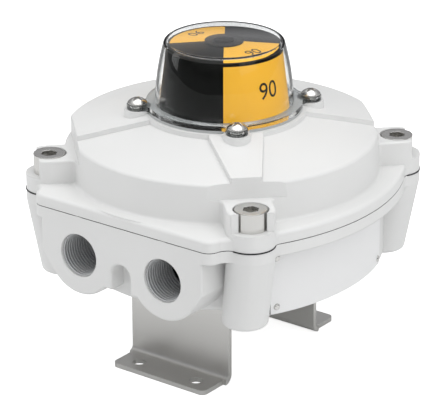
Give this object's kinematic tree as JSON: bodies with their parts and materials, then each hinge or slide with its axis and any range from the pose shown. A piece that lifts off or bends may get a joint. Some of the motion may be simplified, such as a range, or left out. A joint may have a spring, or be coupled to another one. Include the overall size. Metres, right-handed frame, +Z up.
{
  "type": "valve limit switch box",
  "caption": "Cast switch box with a domed position indicator, cam-operated switches, cable entries and a bracket for a quarter-turn valve actuator.",
  "frame": {"origin": "centre of the pattern of feet holes, on the plane that the bracket's feet stand on", "axes": "+Z up along the drive shaft, -Y out of the cable entries, +X towards the name plate"},
  "size_m": [0.1428, 0.1411, 0.1377],
  "materials": {
    "white_coat": "powder coat, satin",
    "black_rubber": "matte",
    "stainless_screw": "turned",
    "clear_dome": "clear moulded polycarbonate",
    "black_plastic": "moulded",
    "yellow_plastic": "moulded",
    "shaft_steel": "turned",
    "spring_steel": "bright",
    "bronze": "sintered bronze",
    "natural_plastic": "moulded",
    "cam_red": "moulded",
    "cam_green": "moulded",
    "switch_plastic": "moulded",
    "plunger_red": "moulded",
    "spacer_brass": "turned",
    "zinc_screw": "zinc plated",
    "plate_steel": "zinc plated",
    "terminal_plastic": "moulded",
    "plate_white": "satin, blank",
    "stainless_sheet": "rolled sheet"
  },
  "bodies": {
    "housing": {"housing_base": "white_coat", "housing_lid": "white_coat", "lid_seal": "black_rubber", "lid_screws": "stainless_screw", "dome": "clear_dome", "dome_gasket": "black_rubber", "dome_washers": "stainless_screw", "dome_screws": "stainless_screw", "lower_bush": "bronze", "upper_bush": "bronze", "thrust_washer": "natural_plastic", "lower_switch": "switch_plastic", "upper_switch": "switch_plastic", "switch_spacers": "spacer_brass", "switch_screws": "zinc_screw", "switch_plate": "plate_steel", "plate_screws": "zinc_screw", "terminal_strip": "terminal_plastic", "terminal_screws": "zinc_screw", "terminal_fixings": "zinc_screw", "earth_clamp": "spacer_brass", "earth_screw": "spacer_brass", "name_plate": "plate_white", "plate_rivets": "stainless_screw", "bracket": "stainless_sheet", "bracket_washers": "stainless_screw", "bracket_screws": "stainless_screw"},
    "shaft": {"shaft": "shaft_steel", "shaft_ring": "spring_steel", "cam_ring": "spring_steel", "lower_shaft_seal": "black_rubber", "upper_shaft_seal": "black_rubber", "lower_cam": "cam_red", "upper_cam": "cam_green", "cam_spring": "spring_steel", "indicator_drum": "black_plastic", "indicator_side_panels": "yellow_plastic", "indicator_top_sectors": "yellow_plastic", "indicator_screw": "stainless_screw"},
    "lower_plunger": {"lower_plunger": "plunger_red"},
    "upper_plunger": {"upper_plunger": "plunger_red"}
  },
  "joints": [
    {"name": "shaft_turn", "type": "hinge", "parent": "housing", "child": "shaft", "pos_m": [0, 0, 0], "axis": [0, 0, -1], "range_deg": [0, 90]},
    {"name": "lower_plunger_slide", "type": "slide", "parent": "housing", "child": "lower_plunger", "axis": [0, 1, 0], "range_m": [0, 0.0015]},
    {"name": "upper_plunger_slide", "type": "slide", "parent": "housing", "child": "upper_plunger", "axis": [0, -1, 0], "range_m": [0, 0.0015]}
  ],
  "couplings": [
    {"joint": "lower_plunger_slide", "follows": "shaft_turn", "m_per_rad": 0.000954},
    {"joint": "upper_plunger_slide", "follows": "shaft_turn", "m_per_rad": 0.000954}
  ]
}
